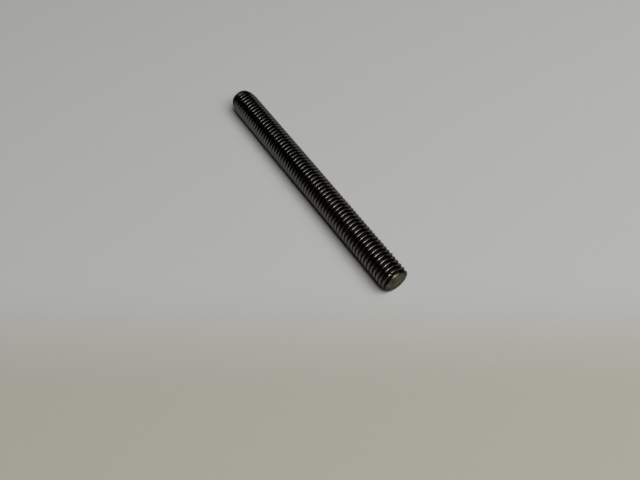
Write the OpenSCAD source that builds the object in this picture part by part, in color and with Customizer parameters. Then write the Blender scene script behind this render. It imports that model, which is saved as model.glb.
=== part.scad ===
// Fully threaded stud: a plain steel bar with one continuous right-hand thread, chamfered at one end
// and drawn in to a blunt point at the other.
// It lies along X on z = 0, with its middle at x = 0.

/* [Bar] */
// Length over the two end faces
stud_len = 80.8; // [40:0.1:110]
// Diameter over the thread crests, a nominal 8 less the usual clearance
major_d = 7.9; // [6:0.05:10]

/* [Thread] */
// Distance from one crest to the next along the bar
pitch = 1.25; // [1:0.25:1.5]
// Straight faces that make up one turn, wide enough for the stud to lie still on one of them
turn_faces = 16; // [12:4:20]
// Faces by which the thread is turned about the bar, which sets where its groove leaves the ends
thread_turn = 0; // [0:1:15]

/* [Plain end, at +X] */
// Length of the chamfer
chamfer_len = 1.2; // [0.4:0.1:2]
// Radial depth of the chamfer
chamfer_depth = 0.5; // [0.4:0.1:1]

/* [Pointed end, at -X] */
// Length over which the crests fall off towards the point
lead_len = 2; // [1:0.1:4]
// Radial amount by which they fall off
lead_depth = 0.3; // [0.1:0.1:0.6]
// Length of the blunt point
point_len = 1.3; // [0.4:0.1:2]
// Radial depth of the blunt point
point_depth = 0.5; // [0.3:0.1:0.8]

/* [Hidden] */
dark_steel = [0.24, 0.23, 0.22];

crest_r = major_d / 2;

// Metric thread form: 60 degree flanks, a crest flat of an eighth of the pitch, and a root that
// reaches 17/24 of the height of the sharp triangle
flank_angle = 30;
sharp_h = pitch / 2 / tan(flank_angle);
thread_depth = sharp_h * 17 / 24;
root_r = crest_r - thread_depth;
crest_w = pitch / 8;
flank_w = thread_depth * tan(flank_angle);
root_w = pitch - crest_w - 2 * flank_w;

// Corners of one section of the ridge, as pairs of radius and distance along the bar
section = [
    [crest_r, 0],
    [crest_r, crest_w],
    [root_r, crest_w + flank_w],
    [root_r, crest_w + flank_w + root_w]
];
corners = len(section);
crest = 0;
root = corners - 1;

// The ridge climbs in steps of one face, and runs a turn past each end, where the blank cuts it off
turns = ceil(stud_len / pitch) + 2;
last_step = turns * turn_faces;
ridge_start = -turns * pitch / 2;
face_angle = 360 / turn_faces;

// Each face is as far from the axis as the round surface it stands for, so its corners lie further out
corner_scale = 1 / cos(face_angle / 2);

// Point of the ridge at one step round the helix and one corner of the section
function ridge_point(step, corner) =
    let (angle = face_angle * (step + thread_turn + 0.5))
    let (r = section[corner][0] * corner_scale)
    let (z = ridge_start + pitch * step / turn_faces + section[corner][1])
    [r * cos(angle), r * sin(angle), z];

// Number of that point in the list of points; past the root comes the crest of the next turn
function at(step, corner) =
    corner > root ? at(step + turn_faces, crest) : step * corners + corner;

// The two triangles between one step and the next, and between one corner and the next
function ridge_face(step, corner) = [
    [at(step, corner), at(step, corner + 1), at(step + 1, corner + 1)],
    [at(step, corner), at(step + 1, corner + 1), at(step + 1, corner)]
];

// The bar with its ridge, along Z, as one closed skin
module ridged_bar() {
    ridge = [
        for (step = [0 : last_step])
            for (corner = [crest : root])
                ridge_point(step, corner)
    ];
    skin = [
        for (corner = [crest : root])
            for (step = [0 : last_step - 1 - (corner == root ? turn_faces : 0)])
                each ridge_face(step, corner)
    ];
    // A fan from a point on the axis closes each end, with a wall where the turn meets its own start
    low = len(ridge);
    high = low + 1;
    axis_points = [[0, 0, ridge[0].z], [0, 0, ridge[low - 1].z]];
    top_step = last_step - turn_faces;
    low_end = [
        for (step = [0 : turn_faces - 1])
            [low, at(step, crest), at(step + 1, crest)],
        for (corner = [crest : root])
            [low, at(0, corner + 1), at(0, corner)]
    ];
    high_end = [
        for (step = [top_step : last_step - 1])
            [high, at(step + 1, root), at(step, root)],
        [high, at(top_step, root), at(last_step, crest)],
        for (corner = [crest : root - 1])
            [high, at(last_step, corner), at(last_step, corner + 1)]
    ];
    polyhedron(points = concat(ridge, axis_points), faces = concat(skin, low_end, high_end));
}

// The blank, whose outline gives the end faces, the chamfer and the point
module blank() {
    half = stud_len / 2;
    lead_r = crest_r - lead_depth;
    // Both tapers run on past the crests, to a barrel that is clear of them
    barrel_r = crest_r * corner_scale + crest_w;
    beyond = barrel_r - crest_r;
    rotate_extrude($fn = 96)
        polygon([
            [0, -half],
            [lead_r - point_depth, -half],
            [lead_r, point_len - half],
            [barrel_r, point_len + lead_len * (1 + beyond / lead_depth) - half],
            [barrel_r, half - chamfer_len * (1 + beyond / chamfer_depth)],
            [crest_r - chamfer_depth, half],
            [0, half]
        ]);
}

module threaded_stud() {
    color(dark_steel)
        translate([0, 0, crest_r])
            rotate([0, 90, 0])
                intersection() {
                    ridged_bar();
                    blank();
                }
}

threaded_stud();
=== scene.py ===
# %% [markdown]
# # A threaded stud in dark steel
# The object is one piece: a steel bar with a thread from end to end. The frame holds it at its real size,
# with a thread made of straight faces. This lesson makes the same stud with a smooth thread, handling marks
# and a steel finish, lays it on a pale sheet and looks at it as the photograph does.

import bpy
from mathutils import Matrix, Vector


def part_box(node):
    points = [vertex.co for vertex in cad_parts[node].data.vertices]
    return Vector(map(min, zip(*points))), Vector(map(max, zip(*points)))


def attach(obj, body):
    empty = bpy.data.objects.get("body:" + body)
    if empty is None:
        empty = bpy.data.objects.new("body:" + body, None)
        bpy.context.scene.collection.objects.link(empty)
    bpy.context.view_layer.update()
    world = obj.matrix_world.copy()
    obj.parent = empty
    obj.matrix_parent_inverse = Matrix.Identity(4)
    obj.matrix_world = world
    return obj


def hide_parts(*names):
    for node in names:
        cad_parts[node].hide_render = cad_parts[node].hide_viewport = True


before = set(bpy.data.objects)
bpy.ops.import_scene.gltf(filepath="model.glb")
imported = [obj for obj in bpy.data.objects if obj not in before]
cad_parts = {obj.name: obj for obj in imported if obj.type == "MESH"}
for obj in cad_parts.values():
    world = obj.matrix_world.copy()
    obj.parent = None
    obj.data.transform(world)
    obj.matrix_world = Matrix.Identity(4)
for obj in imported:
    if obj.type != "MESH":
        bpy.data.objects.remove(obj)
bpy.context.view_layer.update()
low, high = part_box("threaded_stud")
print("stud from", tuple(low), "to", tuple(high))

# %% [markdown]
# ## Sizes
# The frame gives the length, the radius over the crests and the height of the axis. The pitch and the shape
# of the ends are the stud's own sizes, in metres. A metric thread has flanks 60 degrees apart. They would
# meet in a sharp triangle, and the depth of the thread is 17/24 of the height of that triangle.

# %% Sizes of the bar and its ends
import math

MM = 0.001
PITCH = 1.25 * MM
FLANK = math.radians(30)
DEPTH_SHARE = 17 / 24
CHAMFER_LEN = 1.2 * MM
CHAMFER_DEPTH = 0.5 * MM
LEAD_LEN = 2.0 * MM
LEAD_DEPTH = 0.3 * MM
POINT_LEN = 1.3 * MM
POINT_DEPTH = 0.5 * MM

half_len = (high.x - low.x) / 2
crest_r = (high.z - low.z) / 2
axis_z = (high.z + low.z) / 2
thread_depth = DEPTH_SHARE * PITCH / 2 / math.tan(FLANK)
root_r = crest_r - thread_depth
print(f"length {2 * half_len / MM:.2f} mm, crest radius {crest_r / MM:.3f}, root radius {root_r / MM:.3f}")

# %% [markdown]
# ## Where the thread starts
# The smooth thread has to lie on the thread of the frame. The lowest corners of the frame's mesh are its
# crests along the bottom line, one pitch apart, so the average of their places within a pitch tells where a
# crest crosses that line. It is an average on a circle, because places just before and just after a whole
# pitch are close together.

# %% Phase of the thread, from the frame
import cmath

NEARLY_FLAT = 0.02 * MM

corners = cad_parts["threaded_stud"].data.vertices
bottom = [v.co.x for v in corners if v.co.z < low.z + NEARLY_FLAT]
turned = sum(cmath.exp(2j * math.pi * x / PITCH) for x in bottom)
first_crest = PITCH * cmath.phase(turned) / (2 * math.pi)
print(f"{len(bottom)} corners on the bottom line, a crest {first_crest / MM:.3f} mm from the middle")

# %% [markdown]
# ## The section of the thread
# The root is one arc, as rolling leaves it. The crest has one sharp corner and one that is rounded, on the
# side of the chamfered end. The section could be drawn by hand, but a formula keeps every arc tangent to
# its flank. The round corner matters most for the look: it carries the bright strokes that the lamps draw
# along the stud. Rubbing takes a little off a crest and leaves it wider and rounder, so the crest is made
# for any amount that was rubbed off.

# %% Arcs and crests
import numpy as np

BEND = math.pi / 2 - FLANK
CREST_FLAT = PITCH / 8
SHARP_CORNER = 0.03 * MM
SHARP_STEPS = 2
ROUND_STEPS = 5


def arc(middle, top_r, bulge, start, end, steps):
    """Points of an arc as (place along the bar, radius); a positive bulge points away from the axis."""
    angles = np.linspace(start, end, steps + 1)
    return [(middle + abs(bulge) * math.sin(a), top_r - bulge * (1 - math.cos(a))) for a in angles]


def crest_at(x, corner, rubbed_off):
    """The crest whose middle is at x, made lower by rubbed_off, with a round corner of a given radius."""
    top_r = crest_r - rubbed_off
    half_flat = CREST_FLAT / 2 + rubbed_off * math.tan(FLANK)
    flat_start = x - half_flat + SHARP_CORNER * math.tan(BEND / 2)
    flat_end = x + half_flat - corner * math.tan(BEND / 2)
    sharp = arc(flat_start, top_r, SHARP_CORNER, -BEND, 0, SHARP_STEPS)
    return sharp + arc(flat_end, top_r, corner, 0, BEND, ROUND_STEPS)


print(f"crest flat {CREST_FLAT / MM:.3f} mm, sharp corner {SHARP_CORNER / MM:.2f} mm")

# %% [markdown]
# ## A fresh pitch and a rubbed one
# One pitch of the section runs from crest to crest. Two extra points hold each flank straight, so that
# smooth shading bends only at the arcs. The fresh and the rubbed section have the same number of points, so
# that any section between them is a plain blend of the two.

# %% One pitch of the section
ROOT_WIDTH = PITCH / 4
ROOT_STEPS = 3
HOLD = 0.08
FRESH_CORNER = 0.16 * MM
RUBBED_CORNER = 0.42 * MM
RUBBED_OFF = 0.09 * MM

root_round = ROOT_WIDTH / 2 / math.cos(FLANK)


def held(start, end):
    """Two points on a flank, near its ends."""
    return [tuple(s + (e - s) * part for s, e in zip(start, end)) for part in (HOLD, 1 - HOLD)]


def section_with(corner, rubbed_off):
    """One pitch of the section, from crest to crest."""
    crest = crest_at(0, corner, rubbed_off)
    root = arc(PITCH / 2, root_r, -root_round, -BEND, BEND, ROOT_STEPS)
    next_crest = crest_at(PITCH, corner, rubbed_off)
    return np.array(crest + held(crest[-1], root[0]) + root + held(root[-1], next_crest[0]))


fresh = section_with(FRESH_CORNER, 0)
rubbed = section_with(RUBBED_CORNER, RUBBED_OFF)
print(f"{len(fresh)} points a pitch, corner {FRESH_CORNER / MM:.2f} to {RUBBED_CORNER / MM:.2f} mm")

# %% [markdown]
# ## Winding the section round the bar
# A Screw modifier could wind the section, but it can't join one turn to the next without doubled edges, and
# its section can't change along the way. Here every point is worked out, and the section blends from fresh
# to rubbed towards the chamfered end, where the stud was handled most. The skin starts and ends a turn past
# the bar, where the ends will be cut.

# %% Points of the skin
TURN_STEPS = 80
SPARE_TURNS = 2
RUBBED_FROM = -10 * MM

turns = math.ceil(2 * half_len / PITCH) + SPARE_TURNS
steps = turns * TURN_STEPS
step = np.arange(steps + 1)[:, None]
start_x = first_crest - PITCH * round((half_len + PITCH) / PITCH)
climb = start_x + PITCH * step / TURN_STEPS
rub = np.clip((climb - RUBBED_FROM) / (half_len - RUBBED_FROM), 0, 1)
section = fresh + rub[:, :, None] * (rubbed - fresh)
along = climb + section[:, :, 0]
angle = np.broadcast_to(2 * math.pi * step / TURN_STEPS, along.shape)
radius = section[:, :, 1]


def on_bar(x, angle, r):
    """Points of the bar from places along it, angles from the bottom towards +Y, and radii."""
    return np.stack([x, r * np.sin(angle), axis_z - r * np.cos(angle)], axis=-1)


points = on_bar(along, angle, radius).reshape(-1, 3)
print(f"{turns} turns, {len(points)} points")

# %% [markdown]
# ## One skin without a seam
# Every point has its number, so the last point of a turn shares a face with the first point of the next
# turn. The turns could be merged by distance instead, but that could also close the finest arcs.

# %% Faces of the skin
def skin_faces():
    """Faces between one step and the next; past a turn's last point comes the next turn's first."""
    number = np.arange((steps + 1) * section.shape[1]).reshape(steps + 1, section.shape[1])
    inside = np.stack([number[:-1, :-1], number[1:, :-1], number[1:, 1:], number[:-1, 1:]], axis=-1)
    ends = number[:-TURN_STEPS, -1]
    starts = number[TURN_STEPS:, 0]
    between = np.stack([ends[:-1], ends[1:], starts[1:], starts[:-1]], axis=-1)
    return np.concatenate([inside.reshape(-1, 4), between])


faces = skin_faces()
print(len(faces), "faces")

# %% [markdown]
# ## Outline of the blank
# The real bar is cut square, then chamfered at one end and drawn in to a blunt point at the other. Its
# outline is a list of places along the bar, with the radius at each. The rims stand back a little from the
# end faces, which are slightly domed as those of a sheared bar are.

# %% Outline
RIM_BACK = 0.15 * MM

rim_x = half_len - RIM_BACK
lead_r = crest_r - LEAD_DEPTH
outline = [
    (-rim_x, lead_r - POINT_DEPTH),
    (POINT_LEN - half_len, lead_r),
    (POINT_LEN + LEAD_LEN - half_len, crest_r),
    (half_len - CHAMFER_LEN, crest_r),
    (rim_x, crest_r - CHAMFER_DEPTH),
]
outline_x, outline_r = zip(*outline)
print("outline in mm:", [(round(x / MM, 2), round(r / MM, 2)) for x, r in outline])

# %% [markdown]
# ## Cutting the ends
# Cutting the skin with planes gives clean edge loops through the thread: one at each rim, where what lies
# outside is removed, and several along the point and the chamfer, where the skin will bend. A Boolean would
# leave many thin faces.

# %% Cut the skin with planes
import bmesh
import bpy

LOOPS = 6
CUT_REACH = 2 * PITCH
SAME_PLACE = 1e-9


def cut(bm, x, outside=0):
    """Cuts the skin with a plane at x; outside is the side to remove, -1 or 1, or 0 for none."""
    near = [f for f in bm.faces
            if abs(f.verts[0].co.x - x) < CUT_REACH or f.verts[0].co.x * outside > abs(x)]
    verts = dict.fromkeys(v for f in near for v in f.verts)
    edges = dict.fromkeys(e for f in near for e in f.edges)
    bmesh.ops.bisect_plane(bm, geom=[*verts, *edges, *near], dist=SAME_PLACE, plane_co=(x, 0, 0),
                           plane_no=(outside or 1, 0, 0), clear_outer=outside != 0)


mesh = bpy.data.meshes.new("stud_body")
mesh.from_pydata(points.tolist(), [], faces.tolist())
bm = bmesh.new()
bm.from_mesh(mesh)
cut(bm, rim_x, 1)
cut(bm, -rim_x, -1)
point_loops = np.linspace(outline_x[0], outline_x[1], LOOPS)[1:]
chamfer_loops = np.linspace(outline_x[3], outline_x[4], LOOPS)[:-1]
for x in (*point_loops, *chamfer_loops):
    cut(bm, float(x))
print(len(bm.verts), "points after the cuts")

# %% [markdown]
# ## Bringing the thread within the outline
# At the chamfer the crests are cut off by the outline, so the thread runs out by itself. At the point the
# root is drawn in along with the crests, as rolling does on a tapered bar, so the crests stay round. The
# very tip is smooth.

# %% Bring the thread within the outline
from mathutils import Vector

ROOT_FILL = 0.3
SMOOTH_TIP = (0.45 * MM, 1.2 * MM)


def thread_left(x, limit):
    """How much of the thread's depth is left at x: less where the bar is drawn in, none at the very tip."""
    from_tip = (half_len + x - SMOOTH_TIP[0]) / (SMOOTH_TIP[1] - SMOOTH_TIP[0])
    return min(1, max(0, from_tip)) * (1 - ROOT_FILL * (crest_r - limit) / thread_depth)


def bring_in(v):
    """Moves one point of the skin towards the axis, to where the outline allows it."""
    out = Vector((0, v.co.y, v.co.z - axis_z))
    limit = float(np.interp(v.co.x, outline_x, outline_r))
    if v.co.x < 0:
        r = limit - (crest_r - out.length) * thread_left(v.co.x, limit)
    else:
        r = min(limit, out.length)
    v.co += out.normalized() * (r - out.length)


for v in bm.verts:
    bring_in(v)
print("radius at the rims:", round(outline_r[0] / MM, 2), "and", round(outline_r[-1] / MM, 2), "mm")

# %% [markdown]
# ## End faces
# Each end is closed by rings that shrink towards the axis and rise to a slight dome. One flat face would be
# simpler, but the soft edge of the near face shows in the picture, so the dome is real geometry. Each ring
# is given by its share of the rim's radius and its share of the rise.

# %% Close the ends
DOME = ((0.96, 0.45), (0.9, 0.75), (0.8, 0.92), (0.6, 1.0), (0.3, 1.0))

open_edges = [e for e in bm.edges if e.is_boundary]
closing = []


def close_end(side):
    """Fills the rim on one side, -1 or 1, and returns its number of points."""
    rim = list({v for e in open_edges for v in e.verts if v.co.x * side > 0})
    rim.sort(key=lambda v: math.atan2(v.co.y, v.co.z - axis_z))
    outer = rim
    for share, rise in DOME:
        x = side * (rim_x + RIM_BACK * rise)
        ring = [bm.verts.new((x, v.co.y * share, axis_z + (v.co.z - axis_z) * share)) for v in rim]
        for i in range(len(rim)):
            closing.append(bm.faces.new((outer[i - 1], outer[i], ring[i], ring[i - 1])))
        outer = ring
    tip = bm.verts.new((side * half_len, 0, axis_z))
    for i in range(len(rim)):
        closing.append(bm.faces.new((outer[i - 1], outer[i], tip)))
    return len(rim)


rim_points = [close_end(side) for side in (-1, 1)]
bmesh.ops.recalc_face_normals(bm, faces=bm.faces)
print("points on the rims:", rim_points, "open edges left:", sum(e.is_boundary for e in bm.edges))

# %% [markdown]
# ## Handling marks
# A stud that has lain among others has dented crests, most of all near the chamfered end. A noise pattern
# decides where a crest is dented or leans and by how much, so no dent repeats. One small burr stands up
# from a crest near that end. Sculpting would give the same marks, but could not be run again.

# %% How hard each place was handled
QUIET = 0.02
WORN_LEN = 12 * MM


def handling(x):
    """How hard the stud was handled at x, from 0 to 1."""
    part = min(1, max(0, (x - half_len + WORN_LEN) / WORN_LEN))
    return QUIET + (1 - QUIET) * part ** 2


print(f"handling {handling(-half_len):.2f} at the point, {handling(half_len):.2f} at the chamfered end")

# %% Dents and a burr
from mathutils import noise

DENT_SIZE = 0.65 * MM
DENT_DEPTH = 0.35 * MM
DENT_FROM = 0.12
LEAN = 0.1 * MM
LEAN_SHIFT = Vector((7, 3, 5))
BURR_X = 33.5 * MM
BURR_ANGLE = math.radians(113.8)
BURR_HEIGHT = 0.26 * MM
BURR_SPREAD = 0.2 * MM

burr = Vector(on_bar(BURR_X, BURR_ANGLE, crest_r))


def bruise(v):
    """Dents and leans one point of a crest, or lifts it at the burr; returns the depth of the dent."""
    out = Vector((0, v.co.y, v.co.z - axis_z))
    height = max(0, (out.length - root_r) / thread_depth)
    hard = handling(v.co.x) * height
    depth = DENT_DEPTH * hard * max(0, noise.noise(v.co / DENT_SIZE) - DENT_FROM)
    lean = LEAN * hard * noise.noise(v.co / DENT_SIZE + LEAN_SHIFT)
    lift = BURR_HEIGHT * math.exp(-((v.co - burr).length / BURR_SPREAD) ** 2)
    v.co += out.normalized() * (lift - depth) + Vector((lean, 0, 0))
    return depth


depths = [bruise(v) for v in bm.verts if abs(v.co.x) < half_len - CHAMFER_LEN]
print(f"deepest dent {max(depths) / MM:.2f} mm, burr at x {burr.x / MM:.1f} mm")

# %% [markdown]
# ## The stud as an object
# The finished skin becomes one object that rides on the frame's root and stands in for its threaded stud.
# The end faces take the second material. Edges sharper than the arcs of the thread stay crisp.

# %% Make the object
SHARP = math.radians(42)

for f in bm.faces:
    f.smooth = True
for f in closing:
    f.material_index = 1
bm.to_mesh(mesh)
bm.free()
mesh.set_sharp_from_angle(angle=SHARP)
stud = bpy.data.objects.new("stud_body", mesh)
bpy.context.scene.collection.objects.link(stud)
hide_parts("threaded_stud")
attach(stud, "root")
print("stud_body has", sum(len(p.vertices) - 2 for p in mesh.polygons), "triangles")

# %% [markdown]
# ## Helpers for materials
# Materials are graphs of nodes. These short helpers add a node, set its inputs from numbers or from other
# nodes, and give back the output, so that each material below reads like a recipe.

# %% Node helpers
def add(tree, kind, inputs, **settings):
    """Adds a node; inputs maps its sockets to values or to outputs of other nodes."""
    made = tree.nodes.new(kind)
    for name, value in settings.items():
        setattr(made, name, value)
    for name, value in inputs.items():
        if isinstance(value, bpy.types.NodeSocket):
            tree.links.new(value, made.inputs[name])
        else:
            made.inputs[name].default_value = value
    return made


def calc(tree, operation, a, b):
    """One step of arithmetic."""
    return add(tree, "ShaderNodeMath", {0: a, 1: b}, operation=operation).outputs[0]


def scaled(tree, value, by, plus=0.0):
    """A value times a number, plus another."""
    return add(tree, "ShaderNodeMath", {0: value, 1: by, 2: plus}, operation="MULTIPLY_ADD").outputs[0]


def ramp(tree, value, start, end):
    """0 before start, 1 after end and a smooth change between."""
    inputs = {"Value": value, "From Min": start, "From Max": end}
    return add(tree, "ShaderNodeMapRange", inputs, interpolation_type="SMOOTHSTEP").outputs["Result"]


print("helpers: add, calc, scaled, ramp")

# %% Helpers for places and noise
def place_on(tree):
    """Where a point of the surface is, in the object's own coordinates."""
    return add(tree, "ShaderNodeTexCoord", {}).outputs["Object"]


def from_axis(tree, place):
    """The same place, seen from the middle of the stud's axis."""
    inputs = {0: place, 1: (0, 0, axis_z)}
    return add(tree, "ShaderNodeVectorMath", inputs, operation="SUBTRACT").outputs[0]


def mottled(tree, place, scale, detail):
    """Noise between 0 and 1; scale is in patches a metre."""
    inputs = {"Vector": place, "Scale": scale, "Detail": detail}
    return add(tree, "ShaderNodeTexNoise", inputs).outputs["Fac"]


print("helpers: place_on, from_axis, mottled")

# %% Helper for colours
def blend(tree, part, first, second):
    """A colour between two colours."""
    made = add(tree, "ShaderNodeMix", {"Factor": part}, data_type="RGBA")
    sockets = [socket for socket in made.inputs if socket.type == "RGBA"]
    for socket, colour in zip(sockets, (first, second)):
        if isinstance(colour, bpy.types.NodeSocket):
            tree.links.new(colour, socket)
        else:
            socket.default_value = (*colour, 1)
    return next(socket for socket in made.outputs if socket.type == "RGBA")


print("helper: blend")

# %% Helpers for groups and materials
def new_group(name, inputs, outputs):
    """An empty shader node group with number sockets, and the nodes for its inputs and outputs."""
    group = bpy.data.node_groups.new(name, "ShaderNodeTree")
    for socket, value in inputs.items():
        made = group.interface.new_socket(socket, in_out="INPUT", socket_type="NodeSocketFloat")
        made.default_value = value
    for socket in outputs:
        group.interface.new_socket(socket, in_out="OUTPUT", socket_type="NodeSocketFloat")
    return group, group.nodes.new("NodeGroupInput").outputs, group.nodes.new("NodeGroupOutput").inputs


def new_material(name):
    """A material with its node tree and its Principled shader's inputs."""
    material = bpy.data.materials.new(name)
    material.use_nodes = True
    return material, material.node_tree, material.node_tree.nodes["Principled BSDF"].inputs


print("helpers: new_group, new_material")

# %% [markdown]
# ## Grain of the steel
# Steel that has been rolled and handled is never even: it is mottled at about a millimetre and has small
# pits. Both materials of the stud use this grain, so it is a node group. It reads object coordinates, which
# have the same size on every face.

# %% Steel grain group
GRAIN_SCALE = 1100.0
GRAIN_DETAIL = 4.0
FINER = 5.0
PIT_DETAIL = 3.0
TONE_RANGE = (0.3, 0.7)
PIT_RANGE = (0.6, 0.72)
PIT_DEPTH = 0.35

steel_grain, given, put = new_group("steel_grain", {"Scale": GRAIN_SCALE}, ["Tone", "Pits", "Relief"])
place = place_on(steel_grain)
coarse = mottled(steel_grain, place, given["Scale"], GRAIN_DETAIL)
fine = mottled(steel_grain, place, scaled(steel_grain, given["Scale"], FINER), PIT_DETAIL)
pits = ramp(steel_grain, fine, *PIT_RANGE)
relief = calc(steel_grain, "SUBTRACT", coarse, scaled(steel_grain, pits, PIT_DEPTH))
steel_grain.links.new(ramp(steel_grain, coarse, *TONE_RANGE), put["Tone"])
steel_grain.links.new(pits, put["Pits"])
steel_grain.links.new(relief, put["Relief"])
print("group", steel_grain.name, "has", len(steel_grain.nodes), "nodes")

# %% [markdown]
# ## Old oil
# Fasteners are oiled, and the oil gathers dust in patches. The film is a mask: where it is 1 the steel is
# darker and duller. How much of the surface it covers is an input, since the grooves hold more than the cut
# faces.

# %% Old oil group
OIL_SCALE = 420.0
OIL_DETAIL = 5.0
OIL_COVER = 0.45
FILM_RANGE = (0.85, 1.15)

old_oil, given, put = new_group("old_oil", {"Scale": OIL_SCALE, "Cover": OIL_COVER}, ["Film"])
patches = mottled(old_oil, place_on(old_oil), given["Scale"], OIL_DETAIL)
level = calc(old_oil, "ADD", patches, given["Cover"])
old_oil.links.new(ramp(old_oil, level, *FILM_RANGE), put["Film"])
print("group", old_oil.name, "has", len(old_oil.nodes), "nodes")

# %% [markdown]
# ## Places on the thread
# The finish changes with the height within the thread and with the place along the bar. The height is the
# distance from the axis, worked out from object coordinates: 0 at the root and 1 at a fresh crest. A
# painted mask would do as well, but a measured one follows every dent. The masks are the crests, the
# grooves, the end that was handled most, and the cut edge at the chamfer.

# %% Where the crests and grooves are
CREST_RANGE = (0.62, 0.86)
GROOVE_RANGE = (0.55, 0.15)
HANDLED_RANGE = (-0.3 * half_len, 0.6 * half_len)
CUT_EDGE_RANGE = (half_len - 1.5 * CHAMFER_LEN, half_len - 0.8 * CHAMFER_LEN)
ACROSS_BAR = (0, 1, 1)

steel, tree, shader = new_material("dark_steel_thread")
place = place_on(tree)
outward = {0: from_axis(tree, place), 1: ACROSS_BAR}
across_bar = add(tree, "ShaderNodeVectorMath", outward, operation="MULTIPLY").outputs[0]
distance = add(tree, "ShaderNodeVectorMath", {0: across_bar}, operation="LENGTH").outputs["Value"]
height = calc(tree, "DIVIDE", calc(tree, "SUBTRACT", distance, root_r), thread_depth)
crest = ramp(tree, height, *CREST_RANGE)
groove = ramp(tree, height, *GROOVE_RANGE)
along_bar = add(tree, "ShaderNodeSeparateXYZ", {"Vector": place}).outputs["X"]
handled = ramp(tree, along_bar, *HANDLED_RANGE)
cut_edge = ramp(tree, along_bar, *CUT_EDGE_RANGE)
print(f"height 0 at {root_r / MM:.2f} mm from the axis, 1 at {crest_r / MM:.2f} mm")

# %% [markdown]
# ## Colour of the thread
# Rolled steel is a dark metal with a warm tint. The crests are rubbed brighter. Towards the handled end
# they have a brown film, and the flanks are rubbed too. The cut edge at the chamfer has yellowed and has
# patches of oil. The grooves are painted nearly black: partly the oil they keep, partly painted shade deep
# in the thread. Pits darken the rest a little.

# %% Colour of the thread
FLANK_STEEL = (0.105, 0.099, 0.085)
RUBBED_FLANK = (0.158, 0.149, 0.129)
CREST_STEEL = (0.160, 0.151, 0.132)
BROWN_STEEL = (0.168, 0.132, 0.111)
YELLOWED_STEEL = (0.14, 0.128, 0.088)
# Nearly black: oil, and painted shade in the grooves and on the lowest part of the end faces
OIL_AND_SHADE_STEEL = (0.008, 0.007, 0.006)
OIL_AND_SHADE_EVERYWHERE = 0.86
OIL_PATCHES = 0.12
FILM_EVERYWHERE = 0.45
FILM_PATCHES = 0.5
PIT_DARKNESS = 0.2

grain = add(tree, "ShaderNodeGroup", {}, node_tree=steel_grain).outputs
oil = add(tree, "ShaderNodeGroup", {}, node_tree=old_oil).outputs
# Painted shade: the grooves are darkened nearly to black, partly for the oil they keep, partly as shade
# deep in the thread
groove_oil_and_shade = calc(tree, "MULTIPLY", groove, scaled(tree, oil["Film"], OIL_PATCHES, OIL_AND_SHADE_EVERYWHERE))
film = scaled(tree, grain["Tone"], FILM_PATCHES, FILM_EVERYWHERE)
brown = calc(tree, "MULTIPLY", calc(tree, "MULTIPLY", handled, crest), film)
dark = calc(tree, "ADD", groove_oil_and_shade, scaled(tree, grain["Pits"], PIT_DARKNESS))
dark = calc(tree, "MAXIMUM", dark, calc(tree, "MULTIPLY", cut_edge, oil["Film"]))
flank = blend(tree, handled, FLANK_STEEL, RUBBED_FLANK)
bare = blend(tree, brown, blend(tree, crest, flank, CREST_STEEL), BROWN_STEEL)
bare = blend(tree, cut_edge, bare, YELLOWED_STEEL)
tree.links.new(blend(tree, dark, bare, OIL_AND_SHADE_STEEL), shader["Base Color"])
print("crest steel", CREST_STEEL, "groove", OIL_AND_SHADE_STEEL)

# %% [markdown]
# ## Gloss of the thread
# Clean rolled steel is smooth, so that the strokes of light are crisp. The oily grooves, the brown film and
# the cut edge are duller, and each adds its share of roughness. A very low bump of the same grain breaks up
# the strokes. The tint darkens what the metal mirrors at grazing angles, where clean metal is brightest.

# %% Roughness and bump of the thread
SMOOTHEST = 0.1
TONE_ROUGH = 0.05
GROOVE_ROUGH = 0.28
FILM_ROUGH = 0.14
EDGE_ROUGH = 0.2
GRAIN_HEIGHT = 0.0015 * MM
GRAZING_TINT = (0.3, 0.3, 0.3, 1)

rough = scaled(tree, grain["Tone"], TONE_ROUGH, SMOOTHEST)
for part, share in ((groove_oil_and_shade, GROOVE_ROUGH), (brown, FILM_ROUGH), (cut_edge, EDGE_ROUGH)):
    rough = calc(tree, "ADD", rough, scaled(tree, part, share))
tree.links.new(rough, shader["Roughness"])
bump = add(tree, "ShaderNodeBump", {"Distance": GRAIN_HEIGHT, "Height": grain["Relief"]})
tree.links.new(bump.outputs["Normal"], shader["Normal"])
shader["Metallic"].default_value = 1.0
shader["Specular Tint"].default_value = GRAZING_TINT
mesh.materials.append(steel)
print(steel.name, "has", len(tree.nodes), "nodes")

# %% [markdown]
# ## Steel of the cut faces
# The end faces were sheared off, so they carry fine marks in one direction and are duller than the thread.
# The marks are noise stretched along one axis. The grain and the oil are the same groups as before, with
# values of their own.

# %% Cut face material
DULL_CUT = (0.07, 0.066, 0.053)
BRIGHT_CUT = (0.26, 0.243, 0.19)
MARK_SCALE = 2000.0
MARK_DETAIL = 5.0
MARK_STRETCH = (1.0, 0.3, 1.0)
MARK_RANGE = (0.35, 0.65)

cut_steel, tree, shader = new_material("dark_steel_cut_face")
place = place_on(tree)
swept = add(tree, "ShaderNodeMapping", {"Vector": place, "Scale": MARK_STRETCH}).outputs["Vector"]
marks = mottled(tree, swept, MARK_SCALE, MARK_DETAIL)
bare = blend(tree, ramp(tree, marks, *MARK_RANGE), DULL_CUT, BRIGHT_CUT)
print(cut_steel.name, "has marks", round(1 / (MARK_SCALE * MM), 2), "mm apart")

# %% [markdown]
# ## Oil and painted shade on the cut faces
# The lowest part of each end face, where it nears the floor, is painted dark as shade. How low a point lies
# is its distance from the axis along one direction, so the dark part is a slice of the face. Thinner
# patches of oil lie on the rest of the face.

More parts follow.
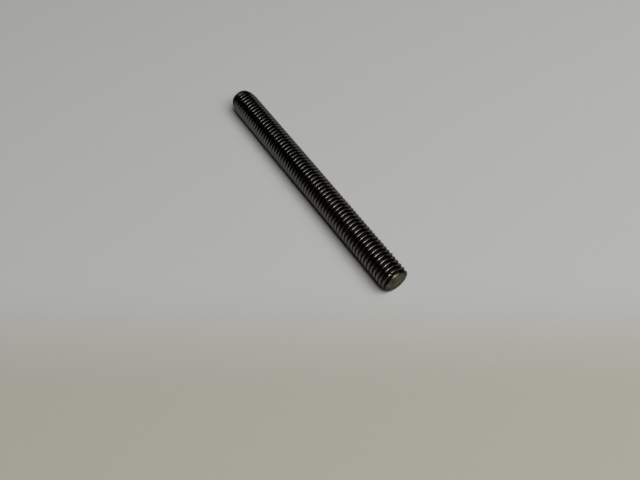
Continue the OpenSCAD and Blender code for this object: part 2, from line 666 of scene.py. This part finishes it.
# %% Oil and painted shade on the cut faces
LOWEST = (0, 0.6, -0.8)
LOW_SHADE_FROM = 0.55
LOW_SHADE_TO = 0.8
CUT_OIL_SCALE = 500.0
CUT_COVER = 0.32
THIN_FILM = 0.5
DRY_ROUGH = 0.3
OILY_ROUGH = 0.3

rim_r = outline_r[-1]
oil_values = {"Scale": CUT_OIL_SCALE, "Cover": CUT_COVER}
patches = add(tree, "ShaderNodeGroup", oil_values, node_tree=old_oil).outputs["Film"]
fall = add(tree, "ShaderNodeVectorMath", {0: from_axis(tree, place), 1: LOWEST}, operation="DOT_PRODUCT")
# Painted shade: the lowest slice of each end face, near the floor, is darkened
painted_low_shade = ramp(tree, fall.outputs["Value"], LOW_SHADE_FROM * rim_r, LOW_SHADE_TO * rim_r)
# The film here is the thin oil patches together with that painted shade
film = calc(tree, "MAXIMUM", scaled(tree, patches, THIN_FILM), painted_low_shade)
tree.links.new(blend(tree, film, bare, OIL_AND_SHADE_STEEL), shader["Base Color"])
tree.links.new(scaled(tree, film, OILY_ROUGH, DRY_ROUGH), shader["Roughness"])
# The darkened lowest part of each face is painted shade, not oil
print("oil gathers on the lowest", round((1 - LOW_SHADE_FROM) * rim_r / MM, 2), "mm of each face")

# %% [markdown]
# ## Relief of the cut faces
# The shearing marks are shallow scratches, far too many to model, so they are bump, together with the
# grain. The tint again darkens what the metal mirrors at grazing angles.

# %% Bump of the cut faces
CUT_GRAIN_SCALE = 850.0
MARK_HEIGHT = 0.03 * MM
CUT_TINT = (0.4, 0.4, 0.4, 1)

grain = add(tree, "ShaderNodeGroup", {"Scale": CUT_GRAIN_SCALE}, node_tree=steel_grain).outputs
relief = calc(tree, "ADD", marks, grain["Relief"])
bump = add(tree, "ShaderNodeBump", {"Distance": MARK_HEIGHT, "Height": relief})
tree.links.new(bump.outputs["Normal"], shader["Normal"])
shader["Metallic"].default_value = 1.0
shader["Specular Tint"].default_value = CUT_TINT
mesh.materials.append(cut_steel)
print(cut_steel.name, "has", len(tree.nodes), "nodes")

# %% [markdown]
# ## Camera
# The camera is set from what was measured in the photograph: its focal length in pixels, the angle it looks
# down, the angle it looks round the stud, and the pixel and distance at which the middle of the stud
# appears. From these the eye is found by going back from the middle of the stud along the line of sight.

# %% Where the camera stands
PHOTO_W = 640
PHOTO_H = 480
FOCAL_PX = 581.8
MIDDLE_PX = (310.25, 180.3)
MIDDLE_DISTANCE = 167.25 * MM
LOOK_DOWN = math.radians(55.84)
LOOK_ROUND = math.radians(56.56)

across = Vector((math.cos(LOOK_ROUND), math.sin(LOOK_ROUND), 0))
ahead = Vector((-math.sin(LOOK_ROUND), math.cos(LOOK_ROUND), 0))
forward = ahead * math.cos(LOOK_DOWN) - Vector((0, 0, math.sin(LOOK_DOWN)))
upward = across.cross(forward)
right_px = MIDDLE_PX[0] - PHOTO_W / 2
down_px = MIDDLE_PX[1] - PHOTO_H / 2
to_middle = (forward + across * right_px / FOCAL_PX - upward * down_px / FOCAL_PX).normalized()
eye = Vector((0, 0, axis_z)) - to_middle * MIDDLE_DISTANCE
print("camera at", tuple(round(c / MM, 1) for c in eye), "mm")

# %% Place the camera
from mathutils import Matrix

SENSOR = 36
NEAR_CLIP = 10 * MM


def facing(place, right, up, back):
    """The matrix of a camera or lamp at a place, from the directions of its own three axes."""
    return Matrix.Translation(place) @ Matrix((right, up, back)).transposed().to_4x4()


camera = bpy.data.objects.new("camera", bpy.data.cameras.new("camera"))
camera.matrix_world = facing(eye, across, upward, -forward)
camera.data.sensor_width = SENSOR
camera.data.lens = SENSOR * FOCAL_PX / PHOTO_W
camera.data.clip_start = NEAR_CLIP
bpy.context.scene.collection.objects.link(camera)
bpy.context.scene.camera = camera
print("lens", round(camera.data.lens, 2), "mm on a sensor of", SENSOR, "mm")

# %% [markdown]
# ## The sheet
# The stud lies on a pale sheet that is neutral round the stud and warmer and darker towards the viewer,
# which is painted shade with a warm tint. The sheet is one large face, so that its edge is far away in
# every view.

# %% Floor
SHEET = 6.0

floor_mesh = bpy.data.meshes.new("floor")
square = [(-SHEET, -SHEET, 0), (SHEET, -SHEET, 0), (SHEET, SHEET, 0), (-SHEET, SHEET, 0)]
floor_mesh.from_pydata(square, [], [(0, 1, 2, 3)])
floor = bpy.data.objects.new("floor", floor_mesh)
bpy.context.scene.collection.objects.link(floor)
print("floor", 2 * SHEET, "m wide")

# %% [markdown]
# ## Finish of the sheet
# The sheet is matt, like paper. Its colour is a soft blend along one fixed direction, the one in which the
# photograph looks across the sheet, so it stays put when the view turns.

# %% Sheet material
NEUTRAL_SHEET = (0.58, 0.582, 0.57)
WARM_PAINTED_SHADE = (0.50, 0.482, 0.418)
WARM_FROM = -28 * MM
WARM_TO = -62 * MM
SHEET_ROUGH = 0.9
SHEET_GLOSS = 0.1

sheet, tree, shader = new_material("pale_sheet")
depth = add(tree, "ShaderNodeVectorMath", {0: place_on(tree), 1: tuple(ahead)}, operation="DOT_PRODUCT")
# The warmer, darker end of the blend is painted shade with a warm tint
warm = ramp(tree, depth.outputs["Value"], WARM_FROM, WARM_TO)
tree.links.new(blend(tree, warm, NEUTRAL_SHEET, WARM_PAINTED_SHADE), shader["Base Color"])
shader["Roughness"].default_value = SHEET_ROUGH
shader["Specular IOR Level"].default_value = SHEET_GLOSS
floor_mesh.materials.append(sheet)
print("sheet turns warm from", round(WARM_FROM / MM), "to", round(WARM_TO / MM), "mm")

# %% [markdown]
# ## Light
# Steel mirrors its lamps, so their shape is what one sees in it. Four lamps hang high beyond the near end.
# They share their left edge, and each reaches further to the right and is dimmer than the one before, so
# their sum is bright at the left and fades to the right, and so do the strokes on the crests. One lamp with
# a painted gradient could do this too, but plain lamps are easier to change. A fifth lamp lights the sheet
# and softens the shadow to the left of the stud. It is hidden from reflections, so the dark side of the
# steel stays dark.

# %% Lamps
LAMP_DISTANCE = 1.4
LAMP_LEAN = math.radians(30)
LAMP_REACH = math.radians(20)
# Tilts of a lamp's two edges across the stud, in degrees, and how bright its surface is
LAMPS = {
    "edge_lamp": (-15, -5, 3.4),
    "near_lamp": (-15, 4, 2.1),
    "broad_lamp": (-15, 24, 1.6),
    "side_lamp": (-15, 44, 0.7),
    "sheet_lamp": (0, 34, 2.9),
}
HIDDEN = "sheet_lamp"


def softbox(name, start, end, level):
    """A lamp that faces the stud, between two tilts across it; level is how bright its surface is."""
    data = bpy.data.lights.new(name, "AREA")
    data.shape = "RECTANGLE"
    data.size = 2 * LAMP_DISTANCE * math.tan(LAMP_REACH)
    data.size_y = 2 * LAMP_DISTANCE * math.cos(LAMP_LEAN) * math.tan((end - start) / 2)
    data.energy = level * math.pi * data.size * data.size_y
    lamp = bpy.data.objects.new(name, data)
    turn = Matrix.Rotation((start + end) / -2, 3, "X") @ Matrix.Rotation(LAMP_LEAN, 3, "Y")
    right, up, back = turn.transposed()
    lamp.matrix_world = facing(back * LAMP_DISTANCE, right, up, back)
    lamp.visible_glossy = name != HIDDEN
    bpy.context.scene.collection.objects.link(lamp)


for name, (start, end, level) in LAMPS.items():
    softbox(name, math.radians(start), math.radians(end), level)
print("lamps:", list(LAMPS))

# %% [markdown]
# ## The room
# The room round the sheet is plain and nearly black. The steel mirrors it too, and a paler room would turn
# the dark band of the steel grey. The Standard view shows colours as they are written.

# %% World and view
ROOM = (0.008, 0.008, 0.008)

world = bpy.data.worlds.new("room")
world.use_nodes = True
world.node_tree.nodes["Background"].inputs["Color"].default_value = (*ROOM, 1)
bpy.context.scene.world = world
bpy.context.scene.view_settings.view_transform = "Standard"
print("room level", ROOM)
